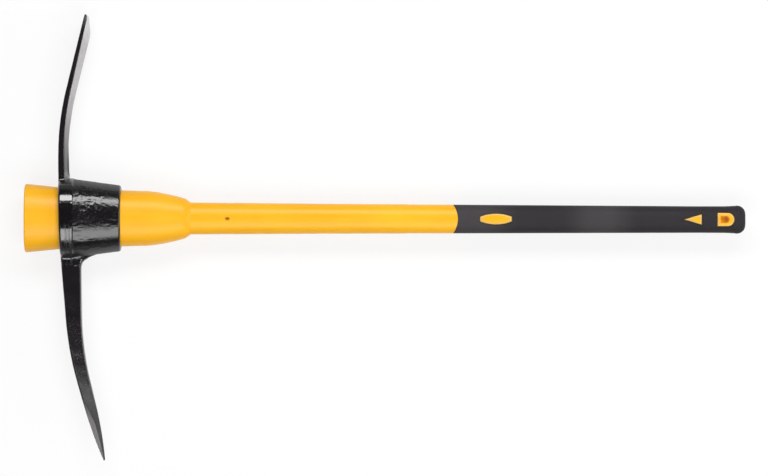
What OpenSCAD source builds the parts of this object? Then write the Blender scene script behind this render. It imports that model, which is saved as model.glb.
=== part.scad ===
// Pick axe: a forged head with a chisel arm and a point arm on a moulded fibreglass handle.
// The handle runs along X, from the crown end at X = 0 to the butt end.
// The arms of the head run along Y, the chisel towards +Y and the point towards -Y.
// The two broad faces of the handle look along +Z and -Z. All sizes are in millimetres.

/* [Handle] */
// Length of the handle from the crown end to the butt end
handle_len = 915; // [850:5:1000]
// Squareness of the oval sections, 2 for an ellipse
oval_square = 2.4; // [2:0.1:3]

/* [Crown and yoke] */
// Height of the crown end, along the arms of the head
crown_h = 87; // [84:0.5:92]
// Depth of the crown end
crown_d = 61; // [58:0.5:66]
// Rounding of the crown's end edge
crown_round = 2; // [1:0.5:5]
// Length of crown that stands out past the head
crown_out = 44; // [30:1:60]
// Height of the yoke where it enters the eye
eye_h = 78.5; // [76:0.5:83]
// Depth of the yoke where it enters the eye
eye_d = 55; // [53:0.5:57]
// Height of the yoke where it leaves the eye
eye_exit_h = 71.5; // [70:0.5:75]
// Depth of the yoke where it leaves the eye
eye_exit_d = 50; // [48:0.5:52]
// Length of the yoke's belly past the head
belly_len = 30; // [20:1:45]
// Height of the belly where the shoulder starts
belly_h = 69.5; // [62:0.5:69.5]
// Depth of the belly where the shoulder starts
belly_d = 48; // [44:0.5:48]
// Length of the shoulder
shoulder_len = 52; // [40:1:70]
// Height of the yoke behind its lip
neck_h = 50; // [47:0.5:54]
// Depth of the yoke behind its lip
neck_d = 38; // [36:0.5:42]
// Length of the bevelled lip that steps down to the shaft
lip_len = 5.5; // [5:0.5:12]
// Wall of the yoke at the end of its lip
lip_wall = 0.6; // [0.5:0.1:1.5]
// Length of shaft that is held inside the yoke
yoke_hold = 50; // [35:1:70]

/* [Shaft] */
// Height of the shaft at the yoke
shaft_h = 40.8; // [38:0.2:43]
// Depth of the shaft at the yoke
shaft_d = 30; // [28.5:0.5:32]
// Height of the shaft at the grip
shaft_end_h = 36.5; // [34.5:0.5:39]
// Depth of the shaft at the grip
shaft_end_d = 28.5; // [27.5:0.5:30]
// Height of the fibreglass core
core_h = 22; // [18:0.5:24]
// Depth of the fibreglass core
core_d = 13; // [10:0.5:15]
// Diameter of the moulding gate mark
gate_dia = 4; // [2:0.5:6]
// Depth of the moulding gate mark
gate_depth = 1.2; // [0.5:0.1:2]
// Distance of the gate mark from the yoke's lip
gate_from_lip = 48; // [20:1:120]
// Distance of the gate mark from the middle of the face
gate_side = 0; // [-4:0.5:4]

/* [Grip] */
// Length of the grip along its narrow edges
grip_len = 372; // [350:1:410]
// Wall of the rubber grip
grip_wall = 2.5; // [1.5:0.1:3]
// How far the front edge is set back on the broad faces
scallop = 6.5; // [3:0.5:12]
// Height of the grip's waist
waist_h = 33.4; // [32:0.2:35]
// Depth of the grip's waist
waist_d = 27.5; // [26.5:0.5:29]
// Height of the flared butt
butt_h = 35.8; // [33:0.2:38]
// Depth of the flared butt
butt_d = 29; // [27.5:0.5:31]
// Length of the flare
flare_len = 30; // [24:1:36]
// Rounding of the butt's end
butt_round = 10.5; // [6:0.5:11]

/* [Windows in the grip] */
// Distance from the grip's front to the middle of the oval window
oval_from_front = 55; // [40:1:180]
// Length of the oval window
oval_len = 40; // [30:1:50]
// Width of the oval window at its middle
oval_w = 13.5; // [11:0.5:18]
// Width of the oval window's blunt ends
oval_end = 6; // [3:0.5:9]
// Distance from the butt end to the triangle's base
tri_from_butt = 56; // [48:0.5:80]
// Length of the triangle window
tri_len = 22.5; // [15:0.5:30]
// Width of the triangle's base
tri_w = 13.5; // [10:0.5:18]
// Distance from the butt end to the round end of the D window
dee_from_butt = 14.5; // [11:0.5:16]
// Length of the D window
dee_len = 21.5; // [20:0.5:26]
// Width of the D window
dee_w = 17; // [15:0.5:20]
// Rim of the D window along the straight sides of its recess
dee_rim = 3.5; // [2.5:0.5:5]
// Rim of the D window at the round end of its recess
dee_round_rim = 6; // [5:0.5:8]
// Depth of the D recess in each broad face
dee_depth = 9; // [3:0.5:10]
// How far the D recess narrows all round on the way to its floor
dee_draft = 2.5; // [1:0.5:3]
// How far the window bosses stand proud of the rubber
boss_proud = 0.3; // [0.1:0.1:0.8]
// Width of the bevel round each boss
boss_bevel = 2; // [1:0.2:2.4]
// Depth of that bevel
boss_bevel_d = 1.6; // [0.8:0.2:2]
// Groove between a boss and the edge of its window
window_gap = 0.8; // [0.4:0.1:1.5]

/* [Socket of the head] */
// Length of the eye along the handle
eye_len = 78; // [70:1:90]
// Length of the smooth ring at the crown side
ring_len = 18; // [12:1:24]
// Height of the ring
ring_h = 102; // [98:0.5:108]
// Depth of the ring
ring_d = 73; // [70:0.5:78]
// How far the ring stands proud of the socket behind it
ring_proud = 0.8; // [0.3:0.1:2]
// Lean of the ring's crown face, in degrees
ring_lean_angle = 1.5; // [0:0.1:2]
// Wall of the socket at its yoke end, measured above and below
socket_wall_h = 6.5; // [4.5:0.5:8]
// Wall of the socket at its yoke end, measured at the cheeks
socket_wall_d = 6; // [4.5:0.5:8]
// Rounding of the edges of the ring and the socket
forge_round = 2.5; // [1:0.5:3.5]
// How far the roots of both arms spread over each cheek of the ring
root_flare = 9; // [5:0.5:10]
// Length of that spread along each arm
root_flare_len = 28; // [20:1:34]
// Gap between the eye and the yoke
eye_gap = 0.35; // [0.25:0.05:0.6]

/* [Chisel arm] */
// Reach of the chisel above the handle's middle line
chisel_reach = 259; // [220:1:300]
// How far the chisel's outer face stands in front of the crown face of the head
chisel_front = 1.4; // [0:0.1:2]
// Thickness of the chisel at its spine
chisel_t = 12.2; // [10:0.2:15]
// Thickness of the chisel's edges at its root
chisel_side_t = 8.6; // [5:0.2:9]
// Thickness of the chisel's edges where its bevelled end starts
chisel_end_t = 5; // [3:0.2:6]
// Thickness of the cutting edge
chisel_edge_t = 2.4; // [1:0.2:3]
// Width of the chisel at its root
chisel_w = 30; // [24:1:36]
// Width of the chisel where its bevelled end starts
chisel_end_w = 46; // [38:1:54]
// Width of the flat top of the spine
spine_w = 7; // [4:0.5:12]
// Length of the bevelled end
chisel_tip_len = 27; // [15:1:35]
// How far the corners of the cutting edge are rounded in
chisel_corner = 5; // [2:0.5:8]
// Height above the middle line where the chisel starts to bend
chisel_bend_from = 81; // [70:1:100]
// Bend radius of the chisel's outer face
chisel_bend_r = 340; // [280:5:420]
// Rake of the chisel after the bend, in degrees
chisel_rake_angle = 13.8; // [8:0.1:16]
// How far the chisel's root spreads along the socket
chisel_fillet = 8; // [4:0.5:12]
// Chamfer along the chisel's edges
chisel_chamfer = 0.8; // [0.4:0.1:1]

/* [Point arm] */
// Reach of the point below the handle's middle line
point_reach = 308; // [260:1:340]
// Distance of the point arm's middle line from the crown face of the head
point_set = 14; // [13.5:0.5:18]
// Thickness of the point arm at its root
point_t = 26.5; // [22:0.5:28]
// Thickness of the point arm where it starts to bend
point_bend_t = 20.5; // [17:0.5:22]
// Thickness of the point arm where the point starts
point_end_t = 15; // [12:0.2:17]
// Depth of the point arm at its root
point_d = 23; // [20:0.5:26]
// Depth of the point arm where the point starts
point_end_d = 15; // [12:0.5:18]
// Thickness and depth of the blunt tip
point_tip = 2.5; // [1.5:0.5:4]
// Length of the point
point_len = 80; // [60:1:100]
// Lean of the point arm at its root, in degrees
point_lean_angle = 2.8; // [0:0.1:4]
// Distance below the middle line where the point arm starts to bend
point_bend_from = 125; // [110:1:140]
// Bend radius of the point arm
point_bend_r = 400; // [330:5:480]
// Rake of the point arm after the bend, in degrees
point_rake_angle = 14.7; // [10:0.1:16]
// How far the point arm's root spreads along the socket
point_fillet = 36; // [20:1:40]
// Chamfer along the point arm's edges
point_chamfer = 1.4; // [0.8:0.2:3]
// Width of the facets that are ground on the outer edges of the point
point_grind = 7; // [4:0.5:8]

/* [Hidden] */

$fn = 96;
// Points round an oval section of the handle and of the head
handle_sides = 48;
head_sides = 64;
// Gap between pieces that are moulded onto one another
mould_gap = 0.1;
// Overcut that lets a cutting shape pass right through a surface
over = 2;
// Depth inside the ring at which the arms start
root_sink = 11;
// Length over which the point's outer edges widen to their ground facets
grind_run = 25;
// Largest ground facet as a share of the point's thickness, and of its depth
grind_share_t = 0.6;
grind_share_d = 0.45;
// Largest chamfer as a share of the section that carries it
chamfer_share = 0.25;
// Share of the chisel's bevelled end over which its corners round in
corner_share = 0.25;
// Share of the point arm's depth by which the toe of its root narrows along the socket
toe_share = 0.7;
// Spread at which the toe's curve starts, and how sharply it curves. The socket covers its start.
toe_spread = 69;
toe_curve = 3.95;
// Smallest half width of that toe
toe_min = 1;
// Length of the grip's seat that runs on inside the shaft
seat_lap = 20;
// How far outside the narrow edges the arc of the grip's front edge ends
front_past = 0.7;
// How sharply the arms' roots curve along the socket and over its cheeks
root_curve = 3;
cheek_curve = 9;
// How sharply the point's thickness and its depth run out at the tip
point_curve_t = 2;
point_curve_d = 1.5;
// How sharply the shoulder, the chisel's bevel, the shaft and the butt curve
shoulder_curve = 1.5;
bevel_curve = 1.6;
shaft_curve = 2;
flare_curve = 2.5;
// Steps along each curve
shoulder_steps = 8;
shaft_steps = 6;
flare_steps = 4;
butt_steps = 5;
crown_steps = 3;
root_steps = 10;
arm_steps = 14;
tip_steps = 8;

// Places along the handle
eye_end_x = crown_out + eye_len;
belly_end_x = eye_end_x + belly_len;
neck_x = belly_end_x + shoulder_len;
yoke_end_x = neck_x + lip_len;
jacket_x = yoke_end_x - yoke_hold;
grip_x = handle_len - grip_len;
waist_x = handle_len - flare_len;
oval_x = grip_x + oval_from_front;
tri_x = handle_len - tri_from_butt;
dee_x = handle_len - dee_from_butt;
core_end_x = dee_x - dee_len - 2 * dee_rim;
gate_x = yoke_end_x + gate_from_lip;
ring_end_x = crown_out + ring_len;

// Arc of the grip's front edge, which runs from edge to edge through the set-back middle
front_half = shaft_end_h / 2 + front_past;
front_r = (front_half * front_half + scallop * scallop) / (2 * scallop);
front_x = grip_x + scallop - front_r;

// Value at the share t of the way from a to b
function between(a, b, t) = a + (b - a) * t;

// Shaft section at the share t of the way from the yoke's lip to the grip
function shaft_at(t) = [
    between(yoke_end_x, grip_x, t),
    between(shaft_end_h, shaft_h, pow(1 - t, shaft_curve)),
    between(shaft_end_d, shaft_d, pow(1 - t, shaft_curve))
];

// Points of an oval section
function oval(h, d, sides) = [
    for (i = [0 : sides - 1])
        let (c = cos(360 * i / sides), s = sin(360 * i / sides))
        [h / 2 * sign(c) * pow(abs(c), 2 / oval_square),
         d / 2 * sign(s) * pow(abs(s), 2 / oval_square)]
];

// Solid through sections, each a list of points that runs the same way round
module loft(sections) {
    points = [for (section = sections) for (p = section) p];
    sides = len(sections[0]);
    last = len(sections) - 1;
    first_cap = [for (i = [0 : sides - 1]) i];
    last_cap = [for (i = [sides - 1 : -1 : 0]) last * sides + i];
    sides_a = [
        for (k = [0 : last - 1]) for (i = [0 : sides - 1])
            [k * sides + i, (k + 1) * sides + i, (k + 1) * sides + (i + 1) % sides]
    ];
    sides_b = [
        for (k = [0 : last - 1]) for (i = [0 : sides - 1])
            [k * sides + i, (k + 1) * sides + (i + 1) % sides, k * sides + (i + 1) % sides]
    ];
    polyhedron(points, concat([first_cap], sides_a, sides_b, [last_cap]), convexity = 6);
}

// Solid through oval sections, each given as its place along X, its height and its depth
module oval_loft(stations, sides) {
    loft([for (st = stations) [for (p = oval(st[1], st[2], sides)) [st[0], p[0], p[1]]]]);
}

// Yoke sections: rounded crown edge, taper through the eye, belly, shoulder and lip
yoke_stations = concat(
    [for (i = [0 : crown_steps])
        let (a = 90 * i / crown_steps, inset = 2 * crown_round * (1 - sin(a)))
        [crown_round * (1 - cos(a)), crown_h - inset, crown_d - inset]],
    [[crown_out, eye_h, eye_d],
     [eye_end_x, eye_exit_h, eye_exit_d]],
    [for (i = [0 : shoulder_steps])
        let (t = i / shoulder_steps, fall = pow(t, shoulder_curve))
        [between(belly_end_x, neck_x, t),
         between(belly_h, neck_h, fall),
         between(belly_d, neck_d, fall)]],
    [[yoke_end_x, shaft_h + 2 * lip_wall, shaft_d + 2 * lip_wall]]
);

// Sections of the grip's outside, moved inwards by inset, from lead in front of the grip
function grip_stations(inset, lead) = concat(
    [[grip_x - lead, shaft_end_h - 2 * inset, shaft_end_d - 2 * inset],
     [grip_x, shaft_end_h - 2 * inset, shaft_end_d - 2 * inset]],
    [for (i = [0 : flare_steps])
        let (t = i / flare_steps, rise = pow(t, flare_curve))
        [between(waist_x, handle_len - butt_round, t),
         between(waist_h, butt_h, rise) - 2 * inset,
         between(waist_d, butt_d, rise) - 2 * inset]],
    [for (i = [1 : butt_steps])
        let (a = 90 * i / butt_steps, r = butt_round - inset)
        [handle_len - butt_round + r * sin(a),
         butt_h - 2 * inset - 2 * r * (1 - cos(a)),
         butt_d - 2 * inset - 2 * r * (1 - cos(a))]]
);

// Long shape along X with the core's oval section
module core_bar(from_x, to_x, gap) {
    straight = core_h - core_d;
    translate([from_x, 0, 0]) rotate([0, 90, 0])
        linear_extrude(to_x - from_x) {
            square([core_d + 2 * gap, straight], center = true);
            for (side = [-1, 1])
                translate([0, side * straight / 2]) circle(core_d / 2 + gap);
        }
}

// Everything in front of the grip's scalloped front edge, seen from a broad face.
// It is twice the size of the crown, so it covers the shaft on all sides.
module front_of_grip(gap) {
    linear_extrude(2 * crown_d, center = true) {
        translate([front_x, 0]) circle(front_r + gap);
        translate([0, -crown_h]) square([front_x, 2 * crown_h]);
    }
}

// Window outlines, seen from a broad face and grown by gap
module oval_outline(gap) {
    rise = (oval_w - oval_end) / 2;
    arc_r = (pow(oval_len / 2, 2) + rise * rise) / (2 * rise);
    translate([oval_x, 0])
        intersection() {
            translate([0, oval_w / 2 - arc_r]) circle(arc_r + gap);
            translate([0, arc_r - oval_w / 2]) circle(arc_r + gap);
            square([oval_len + 2 * gap, oval_w + 2 * gap], center = true);
        }
}

module tri_outline(gap) {
    half_angle = atan(tri_w / 2 / tri_len);
    run = tri_len + gap + gap / sin(half_angle);
    half = run * tan(half_angle);
    translate([tri_x + gap, 0]) polygon([[0, half], [-run, 0], [0, -half]]);
}

module dee_outline(flat_x, round_x, w) {
    translate([round_x - w / 2, 0]) circle(w / 2);
    translate([flat_x, -w / 2]) square([round_x - w / 2 - flat_x, w]);
}

module dee_window(gap) {
    dee_outline(dee_x - dee_len - gap, dee_x + gap, dee_w + 2 * gap);
}

module dee_recess(gap) {
    dee_outline(dee_x - dee_len + dee_rim - gap, dee_x - dee_round_rim + gap,
                dee_w - 2 * dee_rim + 2 * gap);
}

module windows(gap) {
    linear_extrude(2 * butt_d, center = true) {
        oval_outline(gap);
        tri_outline(gap);
        dee_window(gap);
    }
}

// Top of a boss at the place x, above the middle plane
function boss_top(x) = boss_proud + (x < waist_x
    ? between(shaft_end_d, waist_d, (x - grip_x) / (waist_x - grip_x))
    : between(waist_d, butt_d, pow((x - waist_x) / (flare_len - butt_round), flare_curve))) / 2;

// Boss through both broad faces: its outline, then the outline at twice the width of its bevel.
// The bevel runs on past the skin, which cuts it off.
module boss(x) {
    hull() {
        linear_extrude(2 * (boss_top(x) - boss_bevel_d), center = true) children(0);
        linear_extrude(2 * (boss_top(x) + boss_bevel_d), center = true) children(1);
    }
}

module bosses() {
    boss(oval_x) {
        oval_outline(0);
        oval_outline(-2 * boss_bevel);
    }
    boss(tri_x) {
        tri_outline(0);
        tri_outline(-2 * boss_bevel);
    }
    boss(dee_x - dee_len) {
        dee_window(0);
        dee_window(-2 * boss_bevel);
    }
}

// Point on an arm's middle line and the arm's angle there, at the distance s from the root.
// The line runs straight at the angle lean, bends with radius r and runs on at the angle rake.
function arm_angle(s, straight, r, lean, rake) =
    min(rake, lean + max(0, s - straight) / r * 180 / PI);
function arm_at(s, straight, r, lean, rake) =
    let (a = arm_angle(s, straight, r, lean, rake),
         bend = (a - lean) * PI / 180 * r,
         along = min(s, straight),
         after = max(0, s - straight - bend))
    [along * sin(lean) + r * (cos(lean) - cos(a)) + after * sin(rake),
     along * cos(lean) + r * (sin(a) - sin(lean)) + after * cos(rake)];

// Length along the middle line that takes an arm out to the height rise
function arm_length(rise, straight, r, lean, rake) =
    straight + (rake - lean) * PI / 180 * r
    + (rise - straight * cos(lean) - r * (sin(rake) - sin(lean))) / cos(rake);

// Spread of an arm's root at the distance s from where the arm starts
function root_spread(s, extra, curve) = extra * pow(max(0, 1 - s / root_flare_len), curve);

// Section of an arm with the given outline, square to the arm's middle line
function arm_section(place, angle, outline) = [
    for (p = outline)
        [place[0] + p[0] * cos(angle), root_y + place[1] - p[0] * sin(angle), -p[1]]
];

// Distances along an arm: close at the root, even along the arm and closing up at the tip
function arm_distances(tip_from, tip_to) = concat(
    [for (i = [0 : root_steps - 1]) root_flare_len * i / root_steps],
    [for (i = [0 : arm_steps - 1]) between(root_flare_len, tip_from, i / arm_steps)],
    [for (i = [0 : tip_steps]) between(tip_from, tip_to, sin(90 * i / tip_steps))]
);

root_y = ring_h / 2 - root_sink;

chisel_straight = chisel_bend_from - root_y;
chisel_len = arm_length(chisel_reach - root_y, chisel_straight, chisel_bend_r, 0, chisel_rake_angle);
chisel_tip_s = chisel_len - chisel_tip_len;

// The chisel's outer face is flat, and its inner face rises from both edges to a spine.
// The spine falls away over the bevelled end, down to the cutting edge.
function chisel_section(s) =
    let (t = min(1, s / chisel_tip_s),
         u = max(0, (s - chisel_tip_s) / chisel_tip_len),
         spine_t = between(chisel_t, chisel_edge_t, pow(u, bevel_curve)),
         side_t = min(between(chisel_side_t, chisel_end_t, t), spine_t),
         turn = max(0, 1 - (1 - u) / corner_share),
         corner = chisel_corner * (1 - sqrt(1 - turn * turn)),
         half = between(chisel_w, chisel_end_w, t) / 2 - corner + root_spread(s, root_flare, cheek_curve),
         spine = min(spine_w / 2, half / 2),
         c = min(chisel_chamfer, chamfer_share * side_t),
         top = spine_t + root_spread(s, chisel_fillet, root_curve),
         place = arm_at(s, chisel_straight, chisel_bend_r, 0, chisel_rake_angle),
         angle = arm_angle(s, chisel_straight, chisel_bend_r, 0, chisel_rake_angle))
    arm_section(place + [crown_out - chisel_front, 0], angle, [
        [c, -half], [side_t, -half], [top, -spine], [top, spine],
        [side_t, half], [c, half], [0, half - c], [0, c - half]
    ]);

point_straight = (point_bend_from - root_y) / cos(point_lean_angle);
point_arm_len = arm_length(point_reach - root_y, point_straight, point_bend_r,
                           point_lean_angle, point_rake_angle);
point_s = point_arm_len - point_len;

// The point arm is square with chamfered edges, and its root runs out into a toe on the socket.
// The point itself has a broad facet ground on each of its outer edges.
function point_section(s) =
    let (u = max(0, (s - point_s) / point_len),
         bend_share = (s - point_straight) / (point_s - point_straight),
         thick = s < point_straight ? between(point_t, point_bend_t, s / point_straight)
               : s < point_s ? between(point_bend_t, point_end_t, bend_share)
               : between(point_end_t, point_tip, pow(u, point_curve_t)),
         deep = s < point_s ? between(point_d, point_end_d, s / point_s)
              : between(point_end_d, point_tip, pow(u, point_curve_d)),
         ground = min(1, max(0, (s - point_s) / grind_run)),
         facet = between(point_chamfer, point_grind, ground),
         facet_t = min(facet, grind_share_t * thick),
         facet_d = min(facet, grind_share_d * deep),
         c = min(point_chamfer, chamfer_share * min(thick, deep)),
         outer = -thick / 2,
         inner = thick / 2 + min(point_fillet, root_spread(s, toe_spread, toe_curve)),
         half = deep / 2 + root_spread(s, root_flare, cheek_curve),
         flat = deep / 2 - c,
         toe = max(min(flat, toe_min), flat - root_spread(s, toe_share * point_d, root_curve)),
         place = arm_at(s, point_straight, point_bend_r, point_lean_angle, point_rake_angle),
         angle = arm_angle(s, point_straight, point_bend_r, point_lean_angle, point_rake_angle))
    arm_section(place + [crown_out + point_set, 0], angle, [
        [outer + facet_t, -half], [thick / 2 - c, -half], [inner, -toe], [inner, toe],
        [thick / 2 - c, half], [outer + facet_t, half], [outer, half - facet_d], [outer, facet_d - half]
    ]);

module chisel_arm() {
    loft([for (s = arm_distances(chisel_tip_s, chisel_len)) chisel_section(s)]);
}

// Made upwards like the chisel, then turned over
module point_arm() {
    rotate([180, 0, 0]) loft([for (s = arm_distances(point_s, point_arm_len)) point_section(s)]);
}

// Ring with a leaning crown face, a rounded crown edge and a small step behind it.
// Each section is its place along X, its height, its depth and its lean.
module ring() {
    sections = concat(
        [for (i = [0 : crown_steps])
            let (a = 90 * i / crown_steps, inset = 2 * forge_round * (1 - sin(a)))
            [crown_out + forge_round * (1 - cos(a)), ring_h - inset, ring_d - inset, ring_lean_angle]],
        [[ring_end_x - ring_proud, ring_h, ring_d, 0],
         [ring_end_x, ring_h - 2 * ring_proud, ring_d - 2 * ring_proud, 0]]
    );
    loft([
        for (sec = sections)
            [for (p = oval(sec[1], sec[2], head_sides)) [sec[0] - p[0] * tan(sec[3]), p[0], p[1]]]
    ]);
}

// Socket that tapers to its yoke end, with a rounded end edge
module socket() {
    end_h = eye_exit_h + 2 * socket_wall_h;
    end_d = eye_exit_d + 2 * socket_wall_d;
    oval_loft(concat(
        [[ring_end_x - over, ring_h - 2 * ring_proud, ring_d - 2 * ring_proud]],
        [for (i = [0 : crown_steps])
            let (a = 90 * i / crown_steps, inset = 2 * forge_round * (1 - cos(a)))
            [eye_end_x - forge_round * (1 - sin(a)), end_h - inset, end_d - inset]]
    ), head_sides);
}

// Tapered eye, which follows the yoke at the eye gap and runs out past both faces
module eye() {
    past = over / eye_len;
    oval_loft([
        for (t = [-past, 1 + past])
            [between(crown_out, eye_end_x, t),
             between(eye_h, eye_exit_h, t) + 2 * eye_gap,
             between(eye_d, eye_exit_d, t) + 2 * eye_gap]
    ], handle_sides);
}

// Forged and painted steel head: ring, socket and both arms in one piece
module pick_head() {
    color("#1a171a")
        difference() {
            union() {
                ring();
                socket();
                chisel_arm();
                point_arm();
            }
            eye();
        }
}

// Pultruded fibreglass bar, flush with the crown end and stopped short of the D recess
module fibreglass_core() {
    color("#d8d2a0") core_bar(0, core_end_x, 0);
}

// Yellow moulding at the head end, with the crown, the taper for the eye and the shoulder
module yoke_moulding() {
    color("#f7b51e")
        difference() {
            oval_loft(yoke_stations, handle_sides);
            core_bar(-over, jacket_x, mould_gap);
            oval_loft([
                for (x = [jacket_x - mould_gap, yoke_end_x + over])
                    [x, shaft_h + 2 * mould_gap, shaft_d + 2 * mould_gap]
            ], handle_sides);
        }
}

// Yellow jacket on the core: shaft, seat of the grip and the bosses that fill its windows
module shaft_jacket() {
    tongue_t = (scallop + over) / (waist_x - grip_x);
    color("#f9bc2a")
        difference() {
            union() {
                intersection() {
                    oval_loft(concat(
                        [[jacket_x, shaft_h, shaft_d]],
                        [for (i = [0 : shaft_steps]) shaft_at(i / shaft_steps)],
                        [[grip_x + scallop + over,
                          between(shaft_end_h, waist_h, tongue_t),
                          between(shaft_end_d, waist_d, tongue_t)]]
                    ), handle_sides);
                    front_of_grip(0);
                }
                oval_loft(grip_stations(grip_wall, seat_lap), handle_sides);
                intersection() {
                    oval_loft(grip_stations(-boss_proud, over), handle_sides);
                    bosses();
                }
            }
            core_bar(jacket_x - over, core_end_x + mould_gap, mould_gap);
            for (side = [0, 1]) mirror([0, 0, side])
                translate([0, 0, butt_d / 2]) hull() {
                    linear_extrude(over) dee_recess(0);
                    translate([0, 0, -dee_depth]) linear_extrude(dee_depth) dee_recess(-dee_draft);
                }
            gate_t = gate_from_lip / (grip_x - yoke_end_x);
            translate([gate_x, gate_side, shaft_at(gate_t)[2] / 2 - gate_depth])
                cylinder(h = gate_depth + over, d = gate_dia);
        }
}

// Black rubber grip over the jacket, open at the windows and closed at the butt
module rubber_grip() {
    color("#3c393c")
        difference() {
            oval_loft(grip_stations(0, over), handle_sides);
            oval_loft(grip_stations(grip_wall - mould_gap, 2 * over), handle_sides);
            front_of_grip(mould_gap);
            windows(window_gap);
        }
}

pick_head();
fibreglass_core();
yoke_moulding();
shaft_jacket();
rubber_grip();
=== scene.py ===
import math

import bmesh
import bpy
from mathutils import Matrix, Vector, noise


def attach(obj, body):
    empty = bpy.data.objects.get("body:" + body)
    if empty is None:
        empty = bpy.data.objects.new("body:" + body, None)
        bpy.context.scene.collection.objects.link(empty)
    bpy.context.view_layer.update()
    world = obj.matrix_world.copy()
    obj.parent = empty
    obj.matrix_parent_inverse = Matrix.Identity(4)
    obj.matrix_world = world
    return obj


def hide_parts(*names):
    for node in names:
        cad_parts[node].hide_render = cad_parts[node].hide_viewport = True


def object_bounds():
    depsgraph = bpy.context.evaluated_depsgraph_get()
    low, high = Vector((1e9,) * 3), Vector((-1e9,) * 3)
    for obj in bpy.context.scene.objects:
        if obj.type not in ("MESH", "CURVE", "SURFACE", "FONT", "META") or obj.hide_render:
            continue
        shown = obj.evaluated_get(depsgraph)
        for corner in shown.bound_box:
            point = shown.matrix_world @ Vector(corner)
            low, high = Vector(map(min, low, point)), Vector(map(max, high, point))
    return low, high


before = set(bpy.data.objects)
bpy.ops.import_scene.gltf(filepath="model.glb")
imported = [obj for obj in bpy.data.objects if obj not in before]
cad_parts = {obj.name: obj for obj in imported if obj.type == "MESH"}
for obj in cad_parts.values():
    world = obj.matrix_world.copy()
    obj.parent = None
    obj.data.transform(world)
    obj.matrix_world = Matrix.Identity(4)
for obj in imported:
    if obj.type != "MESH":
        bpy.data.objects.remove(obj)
cad_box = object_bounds()

# Fibreglass core: a pultruded bar of glass fibres in polyester resin, the spine of the handle.
# It is moulded into the handle and sawn off flush with the crown, so only its cut end shows.


def linear(code):
    """Linear colour of an sRGB hex value."""
    channels = [int(code[i:i + 2], 16) / 255 for i in (1, 3, 5)]
    return [c / 12.92 if c <= 0.04045 else ((c + 0.055) / 1.055) ** 2.4 for c in channels] + [1.0]


def add(tree, kind, inputs, **settings):
    """Adds a shader node with its settings. An input is a value, or the socket that feeds it.

    A Mix of colours has its share at input 0, its colours at 6 and 7, and its result at output 2.
    """
    node = tree.nodes.new("ShaderNode" + kind)
    for name, value in settings.items():
        setattr(node, name, value)
    for name, value in inputs.items():
        if isinstance(value, bpy.types.NodeSocket):
            tree.links.new(value, node.inputs[name])
        else:
            node.inputs[name].default_value = value
    return node


def new_material(name):
    """A material with its node tree, its shader and the socket of Object coordinates."""
    material = bpy.data.materials.new(name)
    material.use_nodes = True
    tree = material.node_tree
    place = add(tree, "TexCoord", {}).outputs["Object"]
    return material, tree, tree.nodes["Principled BSDF"], place


# Sawn fibreglass: the cut ends of the glass rovings show as pale specks in straw-coloured resin, under
# broad, shallow saw marks. A wave of scale 1 repeats every tenth of pi.
ROVING_MM = 1.1
ROVING_PALE = "#e6dfbc"
RESIN_STRAW = "#b3a373"
SAW_MARK_MM = 5.0
SAW_MARK_DEPTH = 0.00005
fibreglass, tree, shader, place = new_material("sawn_fibreglass")
rovings = add(tree, "TexVoronoi", {"Vector": place, "Scale": 1000 / ROVING_MM})
specks = add(tree, "Mix", {
    0: rovings.outputs["Distance"], 6: linear(ROVING_PALE), 7: linear(RESIN_STRAW),
}, data_type="RGBA")
tree.links.new(specks.outputs[2], shader.inputs["Base Color"])
shader.inputs["Roughness"].default_value = 0.6
saw_marks = add(tree, "TexWave", {
    "Vector": place, "Scale": 1000 / SAW_MARK_MM * math.pi / 10, "Distortion": 1.5,
}, bands_direction="Z")
saw_bump = add(tree, "Bump", {
    "Strength": 0.4, "Distance": SAW_MARK_DEPTH, "Height": saw_marks.outputs["Fac"],
})
tree.links.new(saw_bump.outputs["Normal"], shader.inputs["Normal"])
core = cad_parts["fibreglass_core"]
core.material_slots[0].material = fibreglass

# Shaft jacket: yellow polypropylene moulded round the core in a two-part tool, which leaves a seam
# along both narrow edges. Its front is the bare shaft, its back is the seat of the grip, and its
# raised pads fill the grip's windows. A brown gate mark shows where the plastic was let in.
MERGE_WITHIN = 0.00001
CUT_WITHIN = 0.000001
SEAM_R = 0.00022


def merged_copy(node_name):
    """A bmesh copy of a CAD node, with its loose triangles joined."""
    bm = bmesh.new()
    bm.from_mesh(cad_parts[node_name].data)
    bmesh.ops.remove_doubles(bm, verts=bm.verts, dist=MERGE_WITHIN)
    return bm


def mesh_of(bm, name):
    """The finished mesh of a bmesh, which is freed."""
    mesh = bpy.data.meshes.new(name)
    bm.to_mesh(mesh)
    bm.free()
    return mesh


def set_down(name, data):
    """An object made of a mesh, curve, lamp or camera, linked into the scene."""
    item = bpy.data.objects.new(name, data)
    bpy.context.scene.collection.objects.link(item)
    return item


def moulded_copy(node_name, piece_name, crease):
    """A copy of a CAD node with smooth shading, sharp where faces turn by more than crease degrees."""
    bm = merged_copy(node_name)
    for face in bm.faces:
        face.smooth = True
    for edge in bm.edges:
        edge.smooth = edge.calc_face_angle(0.0) < math.radians(crease)
    piece = set_down(piece_name, mesh_of(bm, piece_name))
    even = piece.modifiers.new("even_shading", "WEIGHTED_NORMAL")
    even.keep_sharp = True
    return piece


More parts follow.
